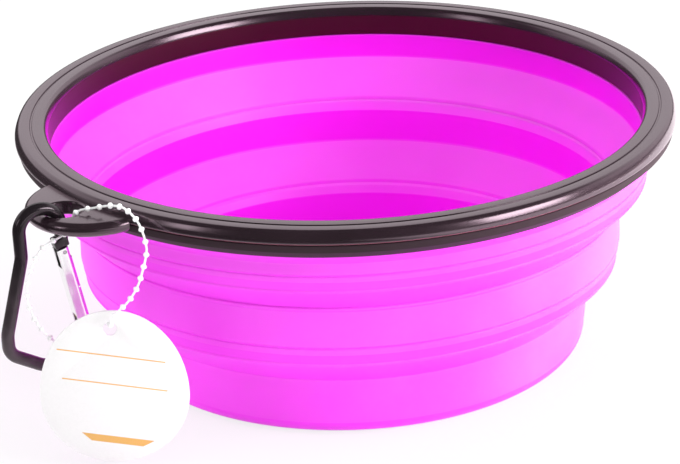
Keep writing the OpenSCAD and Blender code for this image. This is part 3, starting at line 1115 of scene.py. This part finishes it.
@dataclass
class Rim:
    """The two black rings that clamp the silicone, with the hanging lug."""

    outer: float = 90.0
    inner: float = 80.9
    skirt: float = 82.5
    foot: float = 60.45
    under: float = 65.1
    top: float = 68.5
    edge: float = 2.3
    inner_edge: float = 2.2
    lean: float = 0.42
    skirt_top: float = 66.5
    groove: float = 85.5
    groove_half: float = 0.32
    groove_depth: float = 0.38
    lug_x: float = -86.4
    lug_r: float = 17.6
    lug_t: float = 3.7
    lug_z: float = 64.65
    eye_x: float = -96.0
    eye_r: float = 5.3
    eye_round: float = 1.1
    clear: float = 90.15
    sink: float = 0.6
    cutter: Flat = (50, 80)
    past: float = 1.0
    skirt_skin: float = 0.1
    lug_steps: int = 160
    eye_steps: int = 72
    steps: int = 256

    def ring(self) -> Piece:
        """The upper ring: skirt, rounded outer edge and a groove round its top.

        Returns:
            The ring.
        """
        g, w, d = self.groove, self.groove_half, self.groove_depth
        profile = rounded([
            (self.inner, self.foot, 0.3), (self.skirt, self.foot, 0.3), (self.skirt, self.under, 0.2),
            (self.outer, self.under, 0.35), (self.outer, self.top - self.edge, 4.0),
            (self.outer - self.edge * self.lean, self.top, 1.5),
            (g + w, self.top, 0.18), (g + w * 0.7, self.top - d, 0.12),
            (g - w * 0.7, self.top - d, 0.12), (g - w, self.top, 0.18),
            (self.inner + self.inner_edge * self.lean, self.top, 1.3),
            (self.inner, self.top - self.inner_edge, 3.0),
        ])
        return Bench.lathe("rim_upper_ring", profile, self.steps)

    def lug(self) -> Piece:
        """The lug: a disc with a full round edge, an eye with rolled lips, clear of the rings below.

        Returns:
            The lug.
        """
        t = self.lug_t / 2
        disc = Bench.lathe("lug", rounded([
            (0, -t), (self.lug_r, -t, t), (self.lug_r, t, t), (0, t)]),
            self.lug_steps, (self.lug_x, 0, self.lug_z))
        bell, flat = self.eye_r + self.eye_round, t + self.past
        eye = Bench.lathe("eye", rounded([
            (0, -flat), (bell, -flat), (bell, -t), (self.eye_r, -t, self.eye_round),
            (self.eye_r, t, self.eye_round), (bell, t), (bell, flat), (0, flat)]),
            self.eye_steps, (self.eye_x, 0, self.lug_z))
        low, high = self.cutter
        cutters = []
        for name, radius, top in (("inside", self.outer - self.sink, high), ("below", self.clear, self.under)):
            cutters.append(Bench.lathe(name, [(0, low), (radius, low), (radius, top), (0, top)], self.steps))
        Bench.combine(disc, [*cutters, eye], Mix.CUT)
        return disc

    def clamp(self) -> Piece:
        """The lower ring, with a straight side and a sloping foot.

        Returns:
            The ring.
        """
        profile = rounded([
            (85.0, 60.3, 0.25), (86.6, 60.3, 0.35), (89.2, 62.6, 0.5), (89.2, 64.5, 0.2),
            (85.0, 64.5, 0.2),
        ])
        return Bench.lathe("rim_lower_ring", profile, self.steps)

    def build(self) -> None:
        """Make and dress both rings."""
        ring = self.ring()
        Bench.combine(ring, [self.lug()], Mix.JOIN)
        clamp = self.clamp()
        for piece in (ring, clamp):
            Bench.smooth(piece, 28)
        dress(ring, RIM_PLASTIC, Body.RIM, "rim_top_ring")
        # The skirt's inner face gets the copy with the painted reflection of the pink bowl.
        ring.data.materials.append(SKIRT_PAINTED_REFLECTION_PLASTIC.material())
        skirt_index = len(ring.data.materials) - 1
        reach = (self.inner + self.skirt_skin) * MM
        for face in ring.data.polygons:
            if face.center.z < self.skirt_top * MM and Vector(face.center[:2]).length < reach:
                face.material_index = skirt_index
        dress(clamp, CLAMP_PLASTIC, Body.RIM, "rim_clamp_ring")


@dataclass
class SiliconeBowl:
    """The stepped silicone moulding, in two pieces that meet in the upper fold's crease."""

    steps: int = 224
    step_mm: float = 0.9
    upper_slope: Flat = (39.4, 53.2)
    lower_slope: Flat = (16.4, 29.4)
    floor_top: float = 4.0
    web_lean: float = -0.15
    lip_from: float = 88.3
    facing_in: float = -0.2
    facing_up: float = 0.5

    def upper(self) -> Piece:
        """Flange, upper wall and upper fold.

        Returns:
            The upper piece.
        """
        profile = rounded([
            (82.65, 65.1), (82.65, 60.3, 0.2), (80.6, 60.3, 0.3), (80.6, 53.7, 1.2),
            (73.75, 43.2, 0.3), (73.6, 42.3, 0.1),
            (74.5, 41.25), (81.7, 48.35, 0.1), (82.05, 48.6, 0.1), (82.05, 49.0, 0.1),
            (81.9, 49.2, 0.1), (82.55, 51.7, 0.2), (82.65, 53.0, 0.3), (82.4, 53.3, 0.15),
            (82.8, 53.8, 0.3), (82.8, 57.3, 3.0), (84.85, 60.3, 0.6), (84.85, 64.5, 0.2), (88.6, 64.5),
            (88.95, 64.56, 0.1), (88.95, 65.04, 0.1), (88.6, 65.1),
        ], self.step_mm)
        return Bench.lathe("bowl_upper_wall", profile, self.steps)

    def lower(self) -> Piece:
        """Middle wall, lower fold and base.

        Returns:
            The lower piece.
        """
        profile = rounded([
            (73.6, 42.3, 0.1), (73.1, 41.8, 0.3), (72.35, 39.2, 0.8), (72.5, 29.9, 1.2),
            (64.8, 19.9, 0.3), (64.7, 19.0, 0.2), (63.9, 18.5, 0.3), (62.9, 16.2, 0.8),
            (62.2, 2.2, 3.4), (0, 2.2), (0, 0.7), (55.6, 0.7, 0.5), (56.6, 0, 0.6),
            (64.3, 0, 5.0), (65.95, 16.75, 0.3), (73.45, 24.05, 0.1), (73.8, 24.35, 0.1),
            (73.8, 24.75, 0.1), (73.65, 24.95, 0.1), (74.35, 27.7, 0.2), (74.5, 29.2, 0.3),
            (74.25, 29.5, 0.15), (74.75, 30.1, 0.3), (74.45, 40.0, 0.2), (74.75, 40.4, 0.2),
            (74.75, 40.9, 0.2), (74.4, 41.2),
        ], self.step_mm)
        return Bench.lathe("bowl_lower_wall", profile, self.steps)

    def build(self) -> None:
        """Make both pieces and give them their finishes."""
        upper, lower = self.upper(), self.lower()
        for piece in (upper, lower):
            Bench.smooth(piece, 40)
        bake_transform(upper)
        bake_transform(lower)
        dress(upper, BOWL_SILICONE, None, "upper_wall", "upper_fold")
        dress(lower, BOWL_SILICONE, None, "middle_wall", "lower_fold", "base_cup")
        for piece in (upper, lower):
            self.face_inside(piece)

    def face_inside(self, piece: Piece) -> None:
        """Paint light and shade onto the folds and the flange, face by face.

        The upper slope inside gets a lighter copy as painted light; risers, floor, outer webs and the lip get
        darker copies as painted shade.

        Args:
            piece: The upper or the lower piece.
        """
        for finish in (SLOPE_PAINTED_LIGHT_SILICONE, RISER_PAINTED_SHADE_SILICONE, WEB_PAINTED_SHADE_SILICONE, FLANGE_PAINTED_SHADE_SILICONE):
            piece.data.materials.append(finish.material())
        for face in piece.data.polygons:
            height = face.center.z / MM
            outward = Vector(face.center[:2]).normalized().dot(face.normal.xy)
            if Vector(face.center[:2]).length / MM > self.lip_from:
                # The flange's lip gets painted shade.
                face.material_index = Skin.FLANGE
            elif outward < self.facing_in or (face.normal.z > self.facing_up and height < self.floor_top):
                upper = self.upper_slope[0] < height < self.upper_slope[1]
                lower = self.lower_slope[0] < height < self.lower_slope[1]
                # Painted light on the upper slope, painted shade on the risers and the floor.
                face.material_index = Skin.SLOPE if upper else Skin.PLAIN if lower else Skin.RISER
            elif face.normal.z < self.web_lean:
                # Webs facing down outside get painted shade.
                face.material_index = Skin.WEB


@dataclass
class Carabiner:
    """The bent rod with its sprung gate, in the hook's own frame: X outwards, Z up."""

    hook: Place = (-103.65, 0.0, 63.25)
    turn: float = 14.0
    rod_d: float = 3.4
    route: Sequence[Flat] = ((-5.6, -4.2), (-5.6, 5.6), (5.6, 5.6), (5.5, -6.5), (11.0, -26.5), (11.0, -31.8),
                             (0.0, -38.4), (-10.8, -34.2), (-10.0, -31.4))
    bends: Sequence[float] = (0.0, 5.4, 5.4, 8.0, 8.0, 4.4, 8.0, 2.4, 0.0)
    pivot: Flat = (-10.0, -28.6)
    latch: Flat = (-5.6, -6.8)
    gate_w: float = 3.6
    gate_sheet: float = 0.5
    gate_lip: float = 1.9
    back_round: float = 1.7
    lid_end: float = 4.2
    pivot_d: float = 1.3
    head_d: float = 2.6
    head_h: float = 0.5
    latch_d: float = 1.0
    tongue_t: float = 1.8
    tongue_w: float = 2.8
    nose_w: float = 3.8
    nose_h: float = 2.6
    plunger_d: float = 2.0
    plunger_len: float = 3.4
    spring_d: float = 2.0
    spring_wire: float = 0.4
    spring_len: float = 6.0
    spring_turns: int = 6
    gap: float = 0.15
    gate_gap: float = 0.3
    bore_gap: float = 0.04
    rod_sides: int = 32
    bend_step: float = 7.0
    nose_round: float = 0.45
    tongue_round: float = 0.2
    tongue_sink: float = 0.6
    body_cut: float = 3.0
    gate_cut: float = 4.0
    past: float = 1.0
    heel_share: float = 0.75
    mouth_len: float = 2.3
    crimp_round: float = 0.1
    gate_edge: float = 0.09
    dome: Sequence[Flat] = ((0.96, 0.0), (1.0, 0.12), (0.86, 0.3), (0.5, 0.45))
    stub_share: float = 0.6
    stub_end: float = 0.2
    plunger_neck: float = 0.7
    plunger_head: Flat = (2.0, 2.2)
    wire_sides: int = 12
    coil_steps: int = 28

    def __post_init__(self) -> None:
        """Work out the gate's length, lean and frames."""
        reach = Vector(self.latch) - Vector(self.pivot)
        self.gate_len = reach.length
        self.tilt = math.atan2(reach.x, reach.y)
        self.nose_z = self.gate_len + self.latch_d + self.gate_gap
        facing = Matrix.Rotation(math.pi - math.radians(self.turn), 4, "Z")
        self.at_hook = Matrix.Translation(Vector(self.hook) * MM) @ facing
        at_pivot = Matrix.Translation(Vector((self.pivot[0], 0, self.pivot[1])) * MM)
        self.at_pivot = self.at_hook @ at_pivot
        self.at_gate = self.at_pivot @ Matrix.Rotation(self.tilt, 4, "Y")

    def rod(self) -> Piece:
        """The rod: a circle extruded along each straight and spun round each bend.

        Returns:
            The rod.
        """
        Bench.clear()
        spots = [Vector((x, 0, z)) * MM for x, z in self.route]
        bpy.ops.mesh.primitive_circle_add(vertices=self.rod_sides, radius=self.rod_d / 2 * MM, location=spots[0])
        rod = Bench.named("carabiner_rod")
        Bench.edit(rod)
        here = spots[0]
        for before, corner, after, bend in zip(spots, spots[1:], spots[2:], self.bends[1:]):
            back, ahead = (before - corner).normalized(), (after - corner).normalized()
            half = back.angle(ahead) / 2
            radius = bend * MM
            start = corner + back * radius / math.tan(half)
            Bench.extrude(start - here)
            sweep = math.pi - 2 * half
            steps = max(4, math.ceil(math.degrees(sweep) / self.bend_step))
            centre = corner + (back + ahead).normalized() * radius / math.sin(half)
            bpy.ops.mesh.spin(steps=steps, angle=-sweep, center=centre, axis=(-back).cross(ahead).normalized())
            here = corner + ahead * radius / math.tan(half)
        Bench.extrude(spots[-1] - here)
        Bench.weld(Bench.TIGHT)
        bpy.ops.mesh.fill_holes(sides=0)
        Bench.close()
        Bench.lay(rod, self.at_hook)
        return rod

    def cross(self, name: str, radius: float, half: float, at: Matrix, along: float = 0.0) -> Piece:
        """A plain round bar across the gate, to cut a hole with.

        Args:
            name: Its name.
            radius: Its radius.
            half: Half its length.
            at: The frame that it lies in.
            along: How far up that frame it lies.

        Returns:
            The bar.
        """
        lie = at @ Matrix.Translation((0, 0, along * MM)) @ LAID_DOWN
        return Bench.pin(name, [(0, -half), (radius, -half), (radius, half), (0, half)], lie)

    def body(self) -> Piece:
        """The painted body: rod, nose block, notched tongue and pivot tongue.

        Returns:
            The body.
        """
        rod = self.rod()
        w, t = self.tongue_w / 2, self.tongue_t / 2
        nose = Bench.block("nose", (-self.nose_w / 2, -self.rod_d / 2, self.nose_z),
                           (self.nose_w / 2, self.rod_d / 2, self.nose_z + self.nose_h), self.nose_round)
        slot, cut = self.latch_d / 2 + self.gap, self.body_cut
        tongue = Bench.block("tongue", (-w, -t, self.gate_len - 2 * self.latch_d),
                             (w, t, self.nose_z + self.tongue_sink), self.tongue_round)
        notch = Bench.block("notch", (0, -cut, self.gate_len - slot), (cut, cut, self.gate_len + slot))
        for piece in (nose, tongue, notch):
            Bench.lay(piece, self.at_gate)
        Bench.combine(tongue, [notch, self.cross("seat", slot, cut, self.at_gate, self.gate_len)], Mix.CUT)
        ear = Bench.block("ear", (-w, -t, -self.tongue_w - self.rod_d / 2), (w, t, 0))
        Bench.lay(ear, self.at_pivot)
        Bench.combine(ear, [self.cross("round", w, t, self.at_pivot)], Mix.JOIN)
        Bench.combine(ear, [self.cross("bore", self.pivot_d / 2 + self.bore_gap, cut, self.at_pivot)], Mix.CUT)
        Bench.combine(rod, [nose, tongue, ear], Mix.JOIN)
        rod.name = rod.data.name = "carabiner_rod"
        Bench.smooth(rod, 35)
        return rod

    def channel(self) -> Piece:
        """The gate: a folded channel with a crimp, open at the pivot and the nose.

        Returns:
            The gate.
        """
        out, sheet, lip = self.gate_w / 2, self.gate_sheet, self.gate_lip
        inn, cut = out - sheet, self.gate_cut
        low = -self.tongue_w * self.heel_share
        section = rounded([
            (lip, -out, 0.2), (-out, -out, self.back_round), (-out, out, self.back_round),
            (lip, out, 0.2), (lip, inn, 0.2), (-inn, inn, self.back_round - sheet),
            (-inn, -inn, self.back_round - sheet), (lip, -inn, 0.2),
        ])
        top = self.gate_len + self.latch_d
        gate = Bench.prism("gate_channel", [(x, y, low) for x, y in section], (0, 0, top - low))
        crimp_z = self.tongue_w / 2 + self.plunger_len + self.spring_len + 3 * self.gap
        crimp = Bench.block("crimp", (-inn - sheet / 2, -inn - sheet / 2, crimp_z),
                            (lip / 2, inn + sheet / 2, crimp_z + sheet), self.crimp_round)
        heel = Bench.block("heel", (-cut, -cut, low - self.past), (0, cut, self.tongue_w / 2))
        mouth = Bench.block("mouth", (-cut, -inn, self.gate_len - self.mouth_len), (0, inn, top + self.past))
        lid = Bench.block("lid", (lip - sheet, -inn - sheet / 2, self.lid_end),
                          (lip, inn + sheet / 2, self.gate_len - self.lid_end))
        for piece in (gate, crimp, heel, mouth, lid):
            Bench.lay(piece, self.at_gate)
        Bench.combine(gate, [crimp, lid], Mix.JOIN)
        bore = self.cross("bore", self.pivot_d / 2 + self.bore_gap, cut, self.at_gate)
        seat = self.cross("seat", self.latch_d / 2 + self.bore_gap, cut, self.at_gate, self.gate_len)
        Bench.combine(gate, [heel, mouth, bore, seat], Mix.CUT)
        Bench.soften(gate, self.gate_edge, 2, 50)
        Bench.smooth(gate, 30)
        return gate

    def pins(self) -> tuple[Piece, Piece]:
        """The pivot's rivet with domed heads, and the latch pin with chamfered ends.

        Returns:
            The rivet and the latch pin.
        """
        half, head = self.gate_w / 2 + self.gap, self.head_d / 2
        ends = []
        for side in (-1, 1):
            dome = [(head * share, side * (half + rise)) for share, rise in self.dome]
            ends.append([(self.pivot_d / 2, side * half), *dome, (0, side * (half + self.head_h))])
        rivet = Bench.pin("gate_rivet", list(reversed(ends[0])) + ends[1], self.at_gate @ LAID_DOWN)
        r, reach, end = self.latch_d / 2, self.gate_w / 2, self.stub_end
        tip = r * self.stub_share
        stub = [(0, -reach), (tip, -reach), (r, -reach + end), (r, reach - end), (tip, reach), (0, reach)]
        at_latch = self.at_gate @ Matrix.Translation((0, 0, self.gate_len * MM))
        latch = Bench.pin("latch_pin", stub, at_latch @ LAID_DOWN)
        for piece in (rivet, latch):
            Bench.smooth(piece)
        return rivet, latch

    def plunger(self) -> Piece:
        """The turned plunger with a domed nose.

        Returns:
            The plunger.
        """
        low, r = self.tongue_w / 2 + self.gap, self.plunger_d / 2
        neck, high = r * self.plunger_neck, low + self.plunger_len
        shoulder, step = (low + z for z in self.plunger_head)
        profile = rounded([
            (0, low), (r, low, 0.6), (r, shoulder, 0.1), (neck, step, 0.1), (neck, high, 0.15), (0, high),
        ])
        piece = Bench.pin("gate_plunger_turned", profile, self.at_gate)
        Bench.smooth(piece)
        return piece

    def spring(self) -> Piece:
        """The coil spring: one ring of wire wound up by a Screw modifier.

        Returns:
            The spring.
        """
        Bench.clear()
        wire, middle = self.spring_wire / 2, (self.spring_d - self.spring_wire) / 2
        low = self.tongue_w / 2 + self.plunger_len + 2 * self.gap + wire
        bpy.ops.mesh.primitive_circle_add(vertices=self.wire_sides, radius=wire * MM, rotation=(math.pi / 2, 0, 0),
                                          location=(middle * MM, 0, low * MM))
        piece = Bench.named("gate_coil")
        pitch = (self.spring_len - self.spring_wire) / self.spring_turns
        Bench.modify(piece, "SCREW", axis="Z", angle=FULL_TURN, iterations=self.spring_turns,
                     screw_offset=pitch * MM, steps=self.coil_steps, render_steps=self.coil_steps)
        Bench.edit(piece)
        bpy.ops.mesh.fill_holes(sides=0)
        Bench.close()
        Bench.lay(piece, self.at_gate)
        Bench.smooth(piece, 50)
        return piece

    def build(self) -> None:
        """Make and dress the body, the gate and what is in it."""
        dress(self.body(), BLACK_PAINT, Body.CARABINER, "carabiner_body")
        dress(self.channel(), GATE_METAL, Body.GATE, "carabiner_gate")
        rivet, latch = self.pins()
        dress(rivet, PIN_STEEL, Body.CARABINER, "gate_pivot_pin")
        dress(latch, PIN_STEEL, Body.GATE, "gate_latch_pin")
        dress(self.plunger(), PLUNGER_BRASS, Body.GATE, "gate_plunger")
        dress(self.spring(), PIN_STEEL, Body.GATE, "gate_spring")


# Stage


@dataclass
class Studio:
    """Camera, floor, world and lamps."""

    eye: Place = (-473.18, -538.60, 334.64)
    right: Place = (0.7425, -0.66876, -0.03818)
    up: Place = (0.28775, 0.26697, 0.91974)
    back: Place = (-0.6049, -0.69389, 0.39066)
    lens: float = 148.235
    sensor: float = 36.0
    clip: Flat = (0.01, 20.0)
    toward: Place = (-0.660, -0.7513, 0.0)
    aside: Place = (0.7513, -0.660, 0.0)
    horizon: float = 0.23
    overhead: float = 1.12
    backdrop: float = 0.42
    table_edge: Flat = (0.14, 0.26)
    bright_right: Flat = (0.07, 0.15)
    right_gain: float = 1.0
    dark_side: float = 0.06
    floor_size: float = 8.0
    floor_z: float = -0.0002
    floor_glow: float = 0.78
    floor_white: float = 0.92
    floor_dark: float = 0.04
    sweep_from: Flat = (-0.2, 0.2)
    sweep_to: Flat = (0.6, 0.8)
    sky_from: Flat = (0.35, 0.95)
    foot_from: Flat = (0.06, 0.24)
    aim: Place = (0.0, 0.0, 0.04)

    def camera(self) -> None:
        """The camera at the photograph's view."""
        data = bpy.data.cameras.new("view")
        data.sensor_width, data.sensor_fit, data.lens = self.sensor, "HORIZONTAL", self.lens
        data.clip_start, data.clip_end = self.clip
        camera = Bench.add("view", data)
        columns = (Vector(self.right), Vector(self.up), Vector(self.back))
        camera.matrix_world = Matrix.Translation(Vector(self.eye) * MM) @ Matrix(columns).transposed().to_4x4()
        bpy.context.scene.camera = camera

    @staticmethod
    def seen(graph: Graph) -> Value:
        """1 for rays that show the background: from the camera, mirrored or through glass."""
        rays = graph.node("ShaderNodeLightPath")
        return rays[Ray.CAMERA].larger(rays[Ray.GLOSSY]).larger(rays[Ray.THROUGH])

    def world(self) -> None:
        """A white sweep behind the bowl and a dark room in front of it, with soft light from above."""
        scene = bpy.context.scene
        scene.world = bpy.data.worlds.new("studio")
        scene.world.use_nodes = True
        graph = Graph(scene.world.node_tree)
        rays = graph.node("ShaderNodeLightPath")
        way = graph.node("ShaderNodeTexCoord")[Coordinates.GENERATED]
        high = graph.along(way, UP)
        behind = graph.along(way, [-c for c in self.toward])
        sweep = behind.rise(*self.sweep_from) * (1 - high.rise(*self.sweep_to))
        soft = high.rise(*self.sky_from) * self.overhead + sweep * self.backdrop + self.horizon
        sweep = sweep * high.rise(*self.foot_from) * (1 - self.dark_side) + self.dark_side
        mirrored = rays[Ray.GLOSSY].larger(rays[Ray.THROUGH])
        level = (soft + mirrored * (sweep - soft)).larger(rays[Ray.CAMERA])
        light = graph.node("ShaderNodeBackground", None, {"Color": WHITE, "Strength": level})[0]
        graph.node("ShaderNodeOutputWorld", None, {0: light})

    def floor(self) -> None:
        """A white floor that keeps a soft shadow. Reflections alone see a painted pool of light right of the bowl
        and a dark floor past table_edge.
        """
        Bench.clear()
        bpy.ops.mesh.primitive_plane_add(size=self.floor_size, location=(0, 0, self.floor_z))
        floor = Bench.named("floor")
        material = bpy.data.materials.new("floor_white")
        material.use_nodes = True
        graph = Graph(material.node_tree)
        mirrored = graph.node("ShaderNodeLightPath")[Ray.GLOSSY]
        out = graph.node("ShaderNodeVectorMath", {"operation": "LENGTH"}, {0: graph.place()})[1]
        # Painted light: a brighter patch right of the bowl, seen only in reflections.
        lit = graph.along(graph.place(), self.aside).rise(*self.bright_right) * mirrored
        off = mirrored * out.rise(*self.table_edge) * (1 - lit)
        colour = graph.blend(off, (self.floor_white,) * 3, (self.floor_dark,) * 3)
        card = graph.node("ShaderNodeBsdfDiffuse", None, {0: colour})[0]
        glow = graph.node("ShaderNodeEmission", None, {0: WHITE, 1: lit * self.right_gain + 1.0})[0]
        share = self.seen(graph) * self.floor_glow * (1 - off)
        mixed = graph.node("ShaderNodeMixShader", None, {0: share, 1: card, 2: glow})[0]
        graph.node("ShaderNodeOutputMaterial", None, {0: mixed})
        floor.data.materials.append(material)

    def lamp(self, name: str, aside: float, toward: float, up: float, size: Flat, power: float,
             mirrored: bool = True) -> None:
        """One soft box aimed at the bowl.

        Args:
            name: The lamp's name.
            aside: Metres to the camera's right of the bowl.
            toward: Metres towards the camera.
            up: Metres up.
            size: Width and height in metres.
            power: Watts.
            mirrored: Whether shiny surfaces show it.
        """
        data = bpy.data.lights.new(name, "AREA")
        data.shape, data.size, data.size_y, data.energy = "RECTANGLE", size[0], size[1], power
        lamp = Bench.add(name, data)
        at = Vector(self.aside) * aside + Vector(self.toward) * toward + Vector((0, 0, up))
        lamp.location = at
        lamp.visible_glossy = mirrored
        lamp.rotation_euler = (Vector(self.aim) - at).to_track_quat("-Z", "Y").to_euler()

    def build(self) -> None:
        """Set the stage."""
        bpy.context.scene.view_settings.view_transform = "Standard"
        self.camera()
        self.world()
        self.floor()
        self.lamp("key_box", 0.94, 0.55, 0.48, (0.6, 0.36), 8.5)
        self.lamp("left_box", -0.90, 0.62, 0.48, (0.2, 0.35), 0.9)
        self.lamp("side_box", 1.10, -0.20, 0.09, (0.8, 0.15), 42.0, mirrored=False)
        self.lamp("limb_box", -1.10, -0.25, 0.09, (0.6, 0.15), 5.5, mirrored=False)


def main() -> None:
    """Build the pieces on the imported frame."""
    logging.basicConfig(level=logging.INFO, format="%(name)s: %(message)s")
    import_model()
    Studio().build()
    tag = HangTag().build()
    TagTie().build(tag)
    Rim().build()
    SiliconeBowl().build()
    Carabiner().build()
    Bench.clear()


if __name__ == "__main__":
    main()
